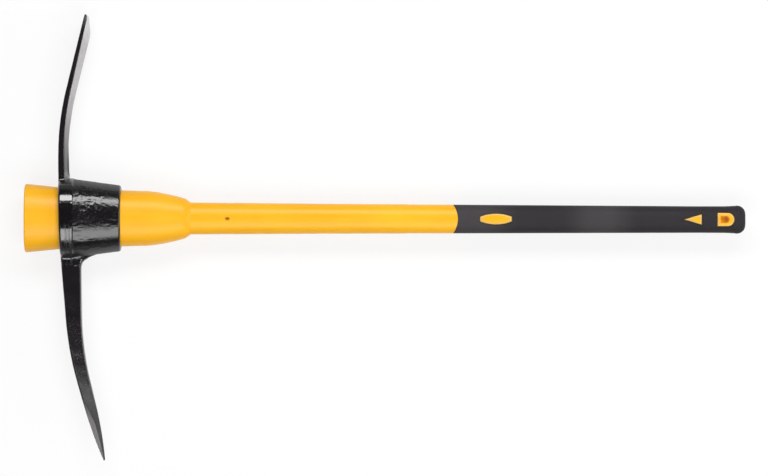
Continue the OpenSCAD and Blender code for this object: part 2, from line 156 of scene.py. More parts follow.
def seam_bead(piece, name, stretches, least_y):
    """A thin bead on the parting plane z = 0 of a moulding, along both narrow edges of each stretch in x."""
    bm = bmesh.new()
    bm.from_mesh(piece.data)
    cut = bmesh.ops.bisect_plane(
        bm, geom=[*bm.verts, *bm.edges, *bm.faces], dist=CUT_WITHIN, plane_co=(0, 0, 0), plane_no=(0, 0, 1),
        clear_inner=True, clear_outer=True,
    )
    rim = [item.co.copy() for item in cut["geom_cut"] if isinstance(item, bmesh.types.BMVert)]
    bm.free()
    curve = bpy.data.curves.new(name, "CURVE")
    curve.dimensions = "3D"
    curve.bevel_depth = SEAM_R
    curve.bevel_resolution = 2
    curve.use_fill_caps = True
    for start, end in stretches:
        for side in (-1, 1):
            line = [p for p in rim if start <= p.x <= end and p.y * side > least_y]
            line.sort(key=lambda p: p.x)
            spline = curve.splines.new("POLY")
            spline.points.add(len(line) - 1)
            for point, co in zip(spline.points, line):
                point.co = (*co, 1.0)
    shaped = set_down(name, curve)
    bpy.context.view_layer.update()
    mesh = bpy.data.meshes.new_from_object(shaped.evaluated_get(bpy.context.evaluated_depsgraph_get()))
    bpy.data.objects.remove(shaped)
    mesh.shade_smooth()
    return set_down(name, mesh)


# Moulded polypropylene: even, saturated colour with faint flow streaks along the handle, a satin skin
# with a fine spark-eroded grain, and hairline scuffs from handling. The grain is drawn coarser than it
# is, so that it shows. A pattern that is drawn out has its size in millimetres along X, Y and Z.
TONE_MM = 55
STREAK_MM = (140, 8, 8)
FLOW_SPREAD = (0.7, 1.3)
SATIN_ROUGH = (0.35, 0.43)
SCUFF_MM = (26, 1.6, 1.6)
SCUFF_SPREAD = (0.68, 0.78)
SCUFF_SHARE = 0.35
SCUFF_ROUGH = 0.4
GRAIN_MM = 0.9
GRAIN_DEPTH = 0.00006
NICK_DEPTH = 0.00008


def yellow_polypropylene(name, deep, bright, scuffed):
    """The plastic of a moulding, with its tree, shader, Object coordinates and node of worn colour."""
    material, tree, shader, place = new_material(name)
    tone = add(tree, "TexNoise", {"Vector": place, "Scale": 1000 / TONE_MM, "Detail": 2.0})
    along = add(tree, "Mapping", {"Vector": place, "Scale": [1000 / mm for mm in STREAK_MM]})
    streaks = add(tree, "TexNoise", {"Vector": along.outputs[0], "Scale": 1.0, "Detail": 3.0})
    mixed = add(tree, "Math", {0: tone.outputs["Fac"], 1: streaks.outputs["Fac"]}, operation="ADD")
    share = add(tree, "MapRange", {
        "Value": mixed.outputs[0], "From Min": FLOW_SPREAD[0], "From Max": FLOW_SPREAD[1],
    })
    body = add(tree, "Mix", {
        0: share.outputs["Result"], 6: linear(deep), 7: linear(bright),
    }, data_type="RGBA")
    lengthwise = add(tree, "Mapping", {"Vector": place, "Scale": [1000 / mm for mm in SCUFF_MM]})
    scratches = add(tree, "TexNoise", {"Vector": lengthwise.outputs[0], "Scale": 1.0, "Detail": 4.0})
    scuff = add(tree, "MapRange", {
        "Value": scratches.outputs["Fac"],
        "From Min": SCUFF_SPREAD[0], "From Max": SCUFF_SPREAD[1], "To Max": SCUFF_SHARE,
    })
    worn = add(tree, "Mix", {
        0: scuff.outputs["Result"], 6: body.outputs[2], 7: linear(scuffed),
    }, data_type="RGBA")
    tree.links.new(worn.outputs[2], shader.inputs["Base Color"])
    satin = add(tree, "MapRange", {
        "Value": mixed.outputs[0], "From Min": FLOW_SPREAD[0], "From Max": FLOW_SPREAD[1],
        "To Min": SATIN_ROUGH[0], "To Max": SATIN_ROUGH[1],
    })
    rough = add(tree, "Math", {
        0: scuff.outputs["Result"], 1: SCUFF_ROUGH, 2: satin.outputs["Result"],
    }, operation="MULTIPLY_ADD")
    tree.links.new(rough.outputs[0], shader.inputs["Roughness"])
    shader.inputs["IOR"].default_value = 1.49
    shader.inputs["Specular IOR Level"].default_value = 0.42
    grain = add(tree, "TexNoise", {"Vector": place, "Scale": 1000 / GRAIN_MM, "Detail": 2.0})
    skin = add(tree, "Bump", {"Strength": 0.25, "Distance": GRAIN_DEPTH, "Height": grain.outputs["Fac"]})
    nicks = add(tree, "Bump", {
        "Strength": 0.3, "Distance": NICK_DEPTH,
        "Height": scuff.outputs["Result"], "Normal": skin.outputs["Normal"],
    }, invert=True)
    tree.links.new(nicks.outputs["Normal"], shader.inputs["Normal"])
    return material, tree, shader, place, worn


jacket_plastic, tree, shader, place, worn = yellow_polypropylene(
    "shaft_polypropylene", "#f6b006", "#fdbb0c", "#fccb70",
)

# The plastic is burnt brown round the gate mark.
BURN_AT = (0.2573, -0.0001, 0.0148)
BURN_SHAPE = (0.72, 1.0, 1.0)
BURN_FADES = (0.00126, 0.00273)
BURN_SHARE = 0.95
BURN_BROWN = "#824600"
off_burn = add(tree, "VectorMath", {0: place, 1: BURN_AT}, operation="SUBTRACT")
drawn_out = add(tree, "VectorMath", {0: off_burn.outputs["Vector"], 1: BURN_SHAPE}, operation="MULTIPLY")
from_burn = add(tree, "VectorMath", {0: drawn_out.outputs["Vector"]}, operation="LENGTH")
burnt = add(tree, "MapRange", {
    "Value": from_burn.outputs["Value"], "From Min": BURN_FADES[0], "From Max": BURN_FADES[1],
    "To Min": BURN_SHARE, "To Max": 0.0,
})
marked = add(tree, "Mix", {
    0: burnt.outputs["Result"], 6: worn.outputs[2], 7: linear(BURN_BROWN),
}, data_type="RGBA")

# On the pads the bevelled rims are painted pale, a painted highlight where the bevels would catch the light.
# A rim is told by how steeply its face leans.
WINDOWS_FROM_X = 0.57
RIM_LEANS = (0.96, 0.85)
WALL_LEANS = (0.2, 0.45)
RIM_HIGHLIGHT_SHARE = 0.5
RIM_HIGHLIGHT_PALE = "#fae0a8"
axes = add(tree, "SeparateXYZ", {"Vector": place})
facing = add(tree, "SeparateXYZ", {"Vector": add(tree, "TexCoord", {}).outputs["Normal"]})
level = add(tree, "Math", {0: axes.outputs["Z"]}, operation="ABSOLUTE")
upright = add(tree, "Math", {0: facing.outputs["Z"]}, operation="ABSOLUTE")
in_windows = add(tree, "Math", {0: axes.outputs["X"], 1: WINDOWS_FROM_X}, operation="GREATER_THAN")
turning = add(tree, "MapRange", {
    "Value": upright.outputs[0], "From Min": RIM_LEANS[0], "From Max": RIM_LEANS[1],
})
not_wall = add(tree, "MapRange", {
    "Value": upright.outputs[0], "From Min": WALL_LEANS[0], "From Max": WALL_LEANS[1],
})
rim = add(tree, "Math", {0: turning.outputs["Result"], 1: not_wall.outputs["Result"]}, operation="MULTIPLY")
pad_rim = add(tree, "Math", {0: rim.outputs[0], 1: in_windows.outputs[0]}, operation="MULTIPLY")
rim_highlight = add(tree, "Math", {0: pad_rim.outputs[0], 1: RIM_HIGHLIGHT_SHARE}, operation="MULTIPLY")
painted_highlight = add(tree, "Mix", {
    0: rim_highlight.outputs[0], 6: marked.outputs[2], 7: linear(RIM_HIGHLIGHT_PALE),
}, data_type="RGBA")

# The recess of the D is painted brown as painted shade, deepest towards its round end.
RECESS_X = (0.881, 0.8965)
RECESS_HALF_Y = 0.0058
RECESS_SINKS_Z = (0.0125, 0.0075)
RECESS_SHADE_FROM_X = (0.8845, 0.8895)
RECESS_SHADE_SHARE = 0.65
RECESS_SHADE_BROWN = "#a85f04"
aside = add(tree, "Math", {0: axes.outputs["Y"]}, operation="ABSOLUTE")
past_flat = add(tree, "Math", {0: axes.outputs["X"], 1: RECESS_X[0]}, operation="GREATER_THAN")
before_round = add(tree, "Math", {0: axes.outputs["X"], 1: RECESS_X[1]}, operation="LESS_THAN")
in_width = add(tree, "Math", {0: aside.outputs[0], 1: RECESS_HALF_Y}, operation="LESS_THAN")
in_length = add(tree, "Math", {0: past_flat.outputs[0], 1: before_round.outputs[0]}, operation="MULTIPLY")
in_recess = add(tree, "Math", {0: in_length.outputs[0], 1: in_width.outputs[0]}, operation="MULTIPLY")
sunk = add(tree, "MapRange", {
    "Value": level.outputs[0], "From Min": RECESS_SINKS_Z[0], "From Max": RECESS_SINKS_Z[1],
})
to_round = add(tree, "MapRange", {
    "Value": axes.outputs["X"],
    "From Min": RECESS_SHADE_FROM_X[0], "From Max": RECESS_SHADE_FROM_X[1], "To Max": RECESS_SHADE_SHARE,
})
brown = add(tree, "Math", {0: sunk.outputs["Result"], 1: to_round.outputs["Result"]}, operation="MULTIPLY")
recess_shade = add(tree, "Math", {0: brown.outputs[0], 1: in_recess.outputs[0]}, operation="MULTIPLY")
recess_shaded = add(tree, "Mix", {
    0: recess_shade.outputs[0], 6: painted_highlight.outputs[2], 7: linear(RECESS_SHADE_BROWN),
}, data_type="RGBA")

# The grooves round the pads are painted near black as painted shade.
GROOVE_SINKS_Z = (0.0131, 0.0122)
GROOVE_SHADE_SHARE = 0.85
GROOVE_SHADE_BLACK = "#2a1c0c"
below_rim = add(tree, "MapRange", {
    "Value": level.outputs[0],
    "From Min": GROOVE_SINKS_Z[0], "From Max": GROOVE_SINKS_Z[1], "To Max": GROOVE_SHADE_SHARE,
})
on_groove = add(tree, "Math", {
    0: in_windows.outputs[0], 1: in_recess.outputs[0],
}, operation="SUBTRACT", use_clamp=True)
groove_shade = add(tree, "Math", {
    0: below_rim.outputs["Result"], 1: on_groove.outputs[0],
}, operation="MULTIPLY")
groove_shaded = add(tree, "Mix", {
    0: groove_shade.outputs[0], 6: recess_shaded.outputs[2], 7: linear(GROOVE_SHADE_BLACK),
}, data_type="RGBA")
tree.links.new(groove_shaded.outputs[2], shader.inputs["Base Color"])

JACKET_CREASE = 28
jacket = moulded_copy("shaft_jacket", "jacket_moulding", JACKET_CREASE)
jacket.data.materials.append(jacket_plastic)
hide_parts("shaft_jacket")
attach(jacket, "handle")

SHAFT_SEAM_X = [(0.2097, 0.5425)]
SHAFT_LEAST_Y = 0.0145
shaft_seam = seam_bead(jacket, "shaft_seam", SHAFT_SEAM_X, SHAFT_LEAST_Y)
shaft_seam.data.materials.append(jacket_plastic)
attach(shaft_seam, "handle")

# Gate stub: the plastic that was left standing in the gate mark when the jacket was broken off its
# runner. It is of one piece with the shaft and lies below its surface.
GATE_AT = Vector((0.2575, 0.0, 0.0148))
STUB_R = (0.0009, 0.0006)
STUB_TALL = 0.0009
STUB_EDGE = 0.0002
STUB_BELOW = Vector((0, 0, 0.0008))
bm = bmesh.new()
bmesh.ops.create_cone(
    bm, cap_ends=True, segments=14, radius1=STUB_R[0], radius2=STUB_R[1], depth=STUB_TALL,
)
top_rim = [e for e in bm.edges if all(v.co.z > 0 for v in e.verts)]
bmesh.ops.bevel(
    bm, geom=top_rim, offset=STUB_EDGE, segments=2, profile=0.5, affect="EDGES", material=-1,
)
bmesh.ops.translate(bm, verts=bm.verts, vec=GATE_AT - STUB_BELOW)
stub = set_down("gate_stub", mesh_of(bm, "gate_stub"))
stub.data.shade_smooth()
stub.data.materials.append(jacket_plastic)
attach(stub, "handle")

# Yoke: the head end of the handle, a second yellow moulding over the core and the end of the shaft.
# Its taper jams in the eye and holds the head, and its bevelled lip ends on the shaft.
YOKE_CREASE = 32
YOKE_SEAM_X = [(0.0029, 0.0425), (0.1235, 0.209)]
YOKE_LEAST_Y = 0.0206
yoke_plastic = yellow_polypropylene("yoke_polypropylene", "#f5ad06", "#fcb80c", "#fbc866")[0]
yoke = moulded_copy("yoke_moulding", "yoke_shell", YOKE_CREASE)
yoke.data.materials.append(yoke_plastic)
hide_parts("yoke_moulding")
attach(yoke, "handle")

yoke_seam = seam_bead(yoke, "yoke_seam", YOKE_SEAM_X, YOKE_LEAST_Y)
yoke_seam.data.materials.append(yoke_plastic)
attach(yoke_seam, "handle")

# Rubber grip: black thermoplastic rubber moulded over the jacket, with three windows in each broad
# face where the jacket's pads show. It is closed over the butt, which flares out as a stop for the hand.
GRIP_CREASE = 32
GRIP_SEAM_X = [(0.5445, 0.9045)]
GRIP_LEAST_Y = 0.0148

# Thermoplastic rubber: dark warm grey and nearly matt, with a fine leathery grain. Two zones are painted
# paler as a painted sheen of the lamps, each given by its middle and half its length along the handle.
MOTTLE_MM = 38
LEATHER_MM = 1.3
PORE_DEPTH = 0.00012
RUBBER_GREYS = ("#232023", "#292529")
SHEEN_GREY = "#3b373a"
SHEEN_ZONES = [(0.567, 0.065), (0.729, 0.052)]
SHEEN_CORE = 0.2
MOTTLE_SPREAD = (0.3, 0.7)
MATT_ROUGH = (0.6, 0.72)
rubber, tree, shader, place = new_material("grip_rubber")
mottle = add(tree, "TexNoise", {"Vector": place, "Scale": 1000 / MOTTLE_MM, "Detail": 4.0})
body = add(tree, "Mix", {
    0: mottle.outputs["Fac"], 6: linear(RUBBER_GREYS[0]), 7: linear(RUBBER_GREYS[1]),
}, data_type="RGBA")
axes = add(tree, "SeparateXYZ", {"Vector": place})
for middle, half in SHEEN_ZONES:
    off_middle = add(tree, "Math", {0: axes.outputs["X"], 1: middle}, operation="SUBTRACT")
    away = add(tree, "Math", {0: off_middle.outputs[0]}, operation="ABSOLUTE")
    painted_highlight = add(tree, "MapRange", {
        "Value": away.outputs[0], "From Min": half * SHEEN_CORE, "From Max": half,
        "To Min": 1.0, "To Max": 0.0,
    }, interpolation_type="SMOOTHSTEP")
    body = add(tree, "Mix", {
        0: painted_highlight.outputs["Result"], 6: body.outputs[2], 7: linear(SHEEN_GREY),
    }, data_type="RGBA")
tree.links.new(body.outputs[2], shader.inputs["Base Color"])
matt = add(tree, "MapRange", {
    "Value": mottle.outputs["Fac"], "From Min": MOTTLE_SPREAD[0], "From Max": MOTTLE_SPREAD[1],
    "To Min": MATT_ROUGH[0], "To Max": MATT_ROUGH[1],
})
tree.links.new(matt.outputs["Result"], shader.inputs["Roughness"])
shader.inputs["IOR"].default_value = 1.5
shader.inputs["Specular IOR Level"].default_value = 0.3
leather = add(tree, "TexVoronoi", {"Vector": place, "Scale": 1000 / LEATHER_MM})
pores = add(tree, "Bump", {"Strength": 0.35, "Distance": PORE_DEPTH, "Height": leather.outputs["Distance"]})
tree.links.new(pores.outputs["Normal"], shader.inputs["Normal"])

grip = moulded_copy("rubber_grip", "grip_sleeve", GRIP_CREASE)
grip.data.materials.append(rubber)
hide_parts("rubber_grip")
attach(grip, "handle")

grip_seam = seam_bead(grip, "grip_seam", GRIP_SEAM_X, GRIP_LEAST_Y)
grip_seam.data.materials.append(rubber)
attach(grip_seam, "handle")

# Pick head: one drop forging of carbon steel with a tapered eye, dipped in black enamel. The ring is
# dressed smooth, the socket keeps the rough forged skin under its paint, and both working ends are ground.
SKIN_STEP = 0.001
SMOOTH_ROUNDS = 2
head = set_down("forged_head", mesh_of(merged_copy("pick_head"), "raw_forging"))
even_skin = head.modifiers.new("even_skin", "REMESH")
even_skin.mode = "VOXEL"
even_skin.voxel_size = SKIN_STEP
head.data = bpy.data.meshes.new_from_object(head.evaluated_get(bpy.context.evaluated_depsgraph_get()))
head.data.name = "forged_head"
head.modifiers.clear()


def smooth_step(start, end, value):
    """Goes smoothly from 0 at start to 1 at end, whichever of them is the greater."""
    share = min(1.0, max(0.0, (value - start) / (end - start)))
    return share * share * (3 - 2 * share)


# The dies leave the skin uneven: coarse patches on the socket, knobs where the arms grow out of the ring,
# and gentle waves on the arms. The eye, the socket's rim and the ground ends are clean. A lump has its
# width and height in metres. On the socket's point side the lumps are drawn out lengthwise.
RING_END_X = 0.062
RING_STEP_X = 0.002
SOCKET_RIM_X = (0.116, 0.12)
SOCKET_LUMP = (0.0036, 0.0003)
SOCKET_PATCH = 0.02
PATCH_SPREAD = (-0.5, 0.3)
SOCKET_DRAW = 2.0
DRAWN_Y = (0.004, -0.004)
ROOT_LUMP = (0.0048, 0.0004)
ROOT_STARTS_Y = (0.046, 0.051)
ROOT_ENDS_Y = (0.062, 0.056)
ARM_LUMP = (0.011, 0.00012)
ARM_STARTS_Y = (0.06, 0.07)
ARMS_MIDDLE_Y = -0.02
GROUND_ENDS_Y = (0.255, 0.2)
EYE_HALF_Y = 0.042
SKIN_SUNK = 0.00014
SUNK_Y = (0.06, 0.05)

# A rib runs out along the middle of the chisel's inner face from the root, with a hollow on both sides.
INNER_FACE_Y = (0.05, 0.056)
INNER_FACE_LEANS = (0.4, 0.7)
RIB_PROUD = 0.0012
RIB_RUN_Y = (0.1, 0.062)
RIB_HALF_Z = 0.0034
HOLLOW_DEEP = 0.0009
HOLLOW_RUN_Y = (0.125, 0.075)
HOLLOW_END_Z = 0.014
bm = bmesh.new()
bm.from_mesh(head.data)
for _ in range(SMOOTH_ROUNDS):
    bmesh.ops.smooth_vert(bm, verts=bm.verts, factor=0.5, use_axis_x=True, use_axis_y=True, use_axis_z=True)
bm.normal_update()
moves = []
for vert in bm.verts:
    co = vert.co
    reach = abs(co.y)
    faces_middle = vert.normal.y * co.y + vert.normal.z * co.z < 0
    in_eye = faces_middle and reach < EYE_HALF_Y
    off_eye = smooth_step(*ARM_STARTS_Y, reach)
    on_socket = smooth_step(RING_END_X, RING_END_X + RING_STEP_X, co.x) * (1 - off_eye)
    off_rim = 1 - smooth_step(*SOCKET_RIM_X, co.x)
    on_arm = off_eye * smooth_step(*GROUND_ENDS_Y, abs(co.y - ARMS_MIDDLE_Y))
    at_root = smooth_step(*ROOT_STARTS_Y, reach) * smooth_step(*ROOT_ENDS_Y, reach)
    draw = 1 + (SOCKET_DRAW - 1) * smooth_step(*DRAWN_Y, co.y)
    drawn = Vector((co.x / draw, co.y, co.z)) / SOCKET_LUMP[0]
    patch = smooth_step(*PATCH_SPREAD, noise.noise(co / SOCKET_PATCH))
    lumps = noise.noise(drawn) * SOCKET_LUMP[1] * patch * on_socket * off_rim
    knobs = noise.noise(co / ROOT_LUMP[0]) * ROOT_LUMP[1] * at_root
    waves = noise.noise(co / ARM_LUMP[0]) * ARM_LUMP[1] * on_arm
    sunk = SKIN_SUNK * smooth_step(*SUNK_Y, reach)
    on_inner_face = smooth_step(*INNER_FACE_Y, co.y) * smooth_step(*INNER_FACE_LEANS, vert.normal.x)
    down_flank = min(1.0, abs(co.z) / RIB_HALF_Z)
    up_again = max(0.0, min(1.0, (HOLLOW_END_Z - abs(co.z)) / (HOLLOW_END_Z - RIB_HALF_Z)))
    rib = RIB_PROUD * smooth_step(*RIB_RUN_Y, co.y) * (1 - down_flank)
    hollow = HOLLOW_DEEP * smooth_step(*HOLLOW_RUN_Y, co.y) * down_flank * up_again
    skin = vert.normal * (lumps + knobs + waves - sunk)
    ribbed = Vector(((rib - hollow) * on_inner_face, 0, 0))
    moves.append(Vector((0, 0, 0)) if in_eye else skin + ribbed)
for vert, move in zip(bm.verts, moves):
    vert.co += move
for face in bm.faces:
    face.smooth = True
bm.to_mesh(head.data)
bm.free()

# Black enamel on forged steel: deep black with a warm cast, glossy on the ring and orange-peeled on the
# socket, chipped to grey in flecks, and thinning to ground steel on the chisel's inner face and the point.
# Places along Y run from the point's tip at -0.31 to the chisel's edge at 0.26.
enamel, tree, shader, place = new_material("black_enamel")
axes = add(tree, "SeparateXYZ", {"Vector": place})
facing = add(tree, "SeparateXYZ", {"Vector": add(tree, "TexCoord", {}).outputs["Normal"]})

# Ground steel grows along the chisel's inner face from its root to its edge.
CHISEL_GROUND_Y = (0.06, 0.175)
CHISEL_FACE_LEANS = (0.6, 0.85)
chisel_run = add(tree, "MapRange", {
    "Value": axes.outputs["Y"], "From Min": CHISEL_GROUND_Y[0], "From Max": CHISEL_GROUND_Y[1],
}, interpolation_type="SMOOTHSTEP")
chisel_face = add(tree, "MapRange", {
    "Value": facing.outputs["X"], "From Min": CHISEL_FACE_LEANS[0], "From Max": CHISEL_FACE_LEANS[1],
}, interpolation_type="SMOOTHSTEP")
chisel_ground = add(tree, "Math", {
    0: chisel_run.outputs["Result"], 1: chisel_face.outputs["Result"],
}, operation="MULTIPLY")

# The point is thinly rubbed all round, and its two outer facets are freshly ground.
POINT_RUBBED_Y = (-0.17, -0.29)
POINT_RUBBED_SHARE = 0.03
FACET_Y = (-0.225, -0.26)
FACET_LEANS = (-0.2, -0.35)
FACET_SHARE = 0.6
point_rubbed = add(tree, "MapRange", {
    "Value": axes.outputs["Y"],
    "From Min": POINT_RUBBED_Y[0], "From Max": POINT_RUBBED_Y[1], "To Max": POINT_RUBBED_SHARE,
}, interpolation_type="SMOOTHSTEP")
facet_run = add(tree, "MapRange", {
    "Value": axes.outputs["Y"], "From Min": FACET_Y[0], "From Max": FACET_Y[1], "To Max": FACET_SHARE,
}, interpolation_type="SMOOTHSTEP")
facet_face = add(tree, "MapRange", {
    "Value": facing.outputs["X"], "From Min": FACET_LEANS[0], "From Max": FACET_LEANS[1],
})
facets = add(tree, "Math", {
    0: facet_run.outputs["Result"], 1: facet_face.outputs["Result"],
}, operation="MULTIPLY")
point_ground = add(tree, "Math", {
    0: point_rubbed.outputs["Result"], 1: facets.outputs[0],
}, operation="MAXIMUM")

# The grinding left long marks down the arms and took the paint off unevenly.
GRIND_MM = (1.6, 60, 1.6)
GRIND_SPREAD = (0.3, 0.7)
GRIND_SHARE = (0.75, 1.1)
ground = add(tree, "Math", {0: chisel_ground.outputs[0], 1: point_ground.outputs[0]}, operation="MAXIMUM")
down_arm = add(tree, "Mapping", {"Vector": place, "Scale": [1000 / mm for mm in GRIND_MM]})
grinding = add(tree, "TexNoise", {"Vector": down_arm.outputs[0], "Scale": 1.0, "Detail": 4.0})
patchy = add(tree, "MapRange", {
    "Value": grinding.outputs["Fac"], "From Min": GRIND_SPREAD[0], "From Max": GRIND_SPREAD[1],
    "To Min": GRIND_SHARE[0], "To Max": GRIND_SHARE[1],
})
bare = add(tree, "Math", {
    0: ground.outputs[0], 1: patchy.outputs["Result"],
}, operation="MULTIPLY", use_clamp=True)

# Zones of the forging: the ring, whose point side was dressed, and the socket behind it.
NEAR_EYE_Y = (0.062, 0.054)
RING_EDGE_X = (RING_END_X - 0.001, RING_END_X + 0.001)
POINT_SIDE_Y = (0.0, -0.015)
aside = add(tree, "Math", {0: axes.outputs["Y"]}, operation="ABSOLUTE")
behind_ring = add(tree, "MapRange", {
    "Value": axes.outputs["X"], "From Min": RING_EDGE_X[0], "From Max": RING_EDGE_X[1],
})
near_eye = add(tree, "MapRange", {
    "Value": aside.outputs[0], "From Min": NEAR_EYE_Y[0], "From Max": NEAR_EYE_Y[1],
})
on_socket = add(tree, "Math", {
    0: behind_ring.outputs["Result"], 1: near_eye.outputs["Result"],
}, operation="MULTIPLY")
on_ring = add(tree, "Math", {0: near_eye.outputs["Result"], 1: on_socket.outputs[0]}, operation="SUBTRACT")
point_side = add(tree, "MapRange", {
    "Value": axes.outputs["Y"], "From Min": POINT_SIDE_Y[0], "From Max": POINT_SIDE_Y[1],
})
ring_marks = add(tree, "Math", {
    0: on_ring.outputs[0], 1: point_side.outputs["Result"],
}, operation="MULTIPLY")

# The paint is chipped in flecks round the eye, and more so along the point.
FLECK_MM = 2.2
FLECK_SPREAD = (0.6, 0.72)
FLECK_SHARE = 0.07
CHIPPED_ARM_Y = (-0.1, -0.145)
CHIPPED_ARM_MORE = 1.6
flecks = add(tree, "TexNoise", {"Vector": place, "Scale": 1000 / FLECK_MM, "Detail": 3.0})
chips = add(tree, "MapRange", {
    "Value": flecks.outputs["Fac"],
    "From Min": FLECK_SPREAD[0], "From Max": FLECK_SPREAD[1], "To Max": FLECK_SHARE,
})
chipped_arm = add(tree, "MapRange", {
    "Value": axes.outputs["Y"],
    "From Min": CHIPPED_ARM_Y[0], "From Max": CHIPPED_ARM_Y[1], "To Max": CHIPPED_ARM_MORE,
})
chip_zone = add(tree, "Math", {
    0: near_eye.outputs["Result"], 1: chipped_arm.outputs["Result"],
}, operation="MAXIMUM")
chipped = add(tree, "Math", {0: chips.outputs["Result"], 1: chip_zone.outputs[0]}, operation="MULTIPLY")
bare_all = add(tree, "Math", {0: bare.outputs[0], 1: chipped.outputs[0]}, operation="MAXIMUM")

# Colour: the paint is greyer on the arms than on ring and socket, and the steel is brightest at the edge.
BLOTCH_MM = 16
EYE_BLACKS = ("#0a080a", "#141114")
ARM_BLACKS = ("#151215", "#231f22")
STEEL_GREYS = ("#c6c3c5", "#dcdadc")
FRESH_EDGE_Y = (0.215, 0.245)
blotch = add(tree, "TexNoise", {"Vector": place, "Scale": 1000 / BLOTCH_MM, "Detail": 4.0})
eye_black = add(tree, "Mix", {
    0: blotch.outputs["Fac"], 6: linear(EYE_BLACKS[0]), 7: linear(EYE_BLACKS[1]),
}, data_type="RGBA")
arm_black = add(tree, "Mix", {
    0: blotch.outputs["Fac"], 6: linear(ARM_BLACKS[0]), 7: linear(ARM_BLACKS[1]),
}, data_type="RGBA")
paint = add(tree, "Mix", {
    0: near_eye.outputs["Result"], 6: arm_black.outputs[2], 7: eye_black.outputs[2],
}, data_type="RGBA")
fresh_edge = add(tree, "MapRange", {
    "Value": axes.outputs["Y"], "From Min": FRESH_EDGE_Y[0], "From Max": FRESH_EDGE_Y[1],
})
steel = add(tree, "Mix", {
    0: fresh_edge.outputs["Result"], 6: linear(STEEL_GREYS[0]), 7: linear(STEEL_GREYS[1]),
}, data_type="RGBA")
colour = add(tree, "Mix", {
    0: bare_all.outputs[0], 6: paint.outputs[2], 7: steel.outputs[2],
}, data_type="RGBA")
tree.links.new(colour.outputs[2], shader.inputs["Base Color"])
tree.links.new(bare_all.outputs[0], shader.inputs["Metallic"])

# Roughness of the paint: the arms reflect cleanly, the socket and the worn ends less so, and the sides of
# ring and socket are dull. On the ring's point side the second coat is rubbed off in streaks.
ARM_ROUGH = 0.05
SOCKET_ROUGH = 0.08
SIDE_LEANS = (0.6, 0.9)
SIDE_ROUGH = 0.3
WORN_END_Y = (0.09, 0.2)
WORN_END_ROUGH = 0.063
BLOTCH_ROUGH = 0.1
DRESSING_MM = (3.5, 40, 40)
STREAK_SPREAD = (0.42, 0.6)
STREAK_ROUGH = 0.25
gloss = add(tree, "Math", {0: on_socket.outputs[0], 1: SOCKET_ROUGH, 2: ARM_ROUGH}, operation="MULTIPLY_ADD")
sideways = add(tree, "Math", {0: facing.outputs["Y"]}, operation="ABSOLUTE")
dull_side = add(tree, "MapRange", {
    "Value": sideways.outputs[0],
    "From Min": SIDE_LEANS[0], "From Max": SIDE_LEANS[1], "To Max": SIDE_ROUGH,
})
with_sides = add(tree, "Math", {
    0: dull_side.outputs["Result"], 1: near_eye.outputs["Result"], 2: gloss.outputs[0],
}, operation="MULTIPLY_ADD")
worn_end = add(tree, "MapRange", {
    "Value": aside.outputs[0],
    "From Min": WORN_END_Y[0], "From Max": WORN_END_Y[1], "To Max": WORN_END_ROUGH,
}, interpolation_type="SMOOTHSTEP")
handled = add(tree, "Math", {0: worn_end.outputs["Result"], 1: with_sides.outputs[0]}, operation="ADD")
uneven = add(tree, "Math", {
    0: blotch.outputs["Fac"], 1: BLOTCH_ROUGH, 2: handled.outputs[0],
}, operation="MULTIPLY_ADD")
round_ring = add(tree, "Mapping", {"Vector": place, "Scale": [1000 / mm for mm in DRESSING_MM]})
dressing = add(tree, "TexNoise", {"Vector": round_ring.outputs[0], "Scale": 1.0, "Detail": 3.0})
streaks = add(tree, "MapRange", {
    "Value": dressing.outputs["Fac"], "From Min": STREAK_SPREAD[0], "From Max": STREAK_SPREAD[1],
})
rubbed_streaks = add(tree, "Math", {
    0: streaks.outputs["Result"], 1: ring_marks.outputs[0],
}, operation="MULTIPLY")
streaky = add(tree, "Math", {
    0: rubbed_streaks.outputs[0], 1: STREAK_ROUGH, 2: uneven.outputs[0],
}, operation="MULTIPLY_ADD")

# Wear on top of that: the chisel's blunted edge, the point that digs, its scratched facets, and the inner
# face of the chisel, which earth has dragged along.
BLUNT_EDGE_Y = (0.235, 0.25)
BLUNT_EDGE_ROUGH = 0.22
DIGGING_Y = (-0.195, -0.255)
DIGGING_ROUGH = 0.5
FACET_ROUGH = 0.2
CHISEL_ROOT_Y = (0.045, 0.06)
DRAGGED_ROUGH = 0.22
blunted = add(tree, "MapRange", {
    "Value": axes.outputs["Y"],
    "From Min": BLUNT_EDGE_Y[0], "From Max": BLUNT_EDGE_Y[1], "To Max": BLUNT_EDGE_ROUGH,
}, interpolation_type="SMOOTHSTEP")
off_face = add(tree, "Math", {0: 1.0, 1: chisel_face.outputs["Result"]}, operation="SUBTRACT")
dull_edge = add(tree, "Math", {
    0: blunted.outputs["Result"], 1: off_face.outputs[0], 2: streaky.outputs[0],
}, operation="MULTIPLY_ADD")
digging = add(tree, "MapRange", {
    "Value": axes.outputs["Y"],
    "From Min": DIGGING_Y[0], "From Max": DIGGING_Y[1], "To Max": DIGGING_ROUGH,
}, interpolation_type="SMOOTHSTEP")
earthed = add(tree, "Math", {0: digging.outputs["Result"], 1: dull_edge.outputs[0]}, operation="ADD")
scratched = add(tree, "Math", {
    0: facets.outputs[0], 1: FACET_ROUGH, 2: earthed.outputs[0],
}, operation="MULTIPLY_ADD")
past_root = add(tree, "MapRange", {
    "Value": axes.outputs["Y"], "From Min": CHISEL_ROOT_Y[0], "From Max": CHISEL_ROOT_Y[1],
})
inner_face = add(tree, "Math", {
    0: chisel_face.outputs["Result"], 1: past_root.outputs["Result"],
}, operation="MULTIPLY")
dragged = add(tree, "Math", {0: bare_all.outputs[0], 1: inner_face.outputs[0]}, operation="MAXIMUM")
rough = add(tree, "Math", {
    0: dragged.outputs[0], 1: DRAGGED_ROUGH, 2: scratched.outputs[0],
}, operation="MULTIPLY_ADD")
tree.links.new(rough.outputs[0], shader.inputs["Roughness"])
shader.inputs["IOR"].default_value = 1.68

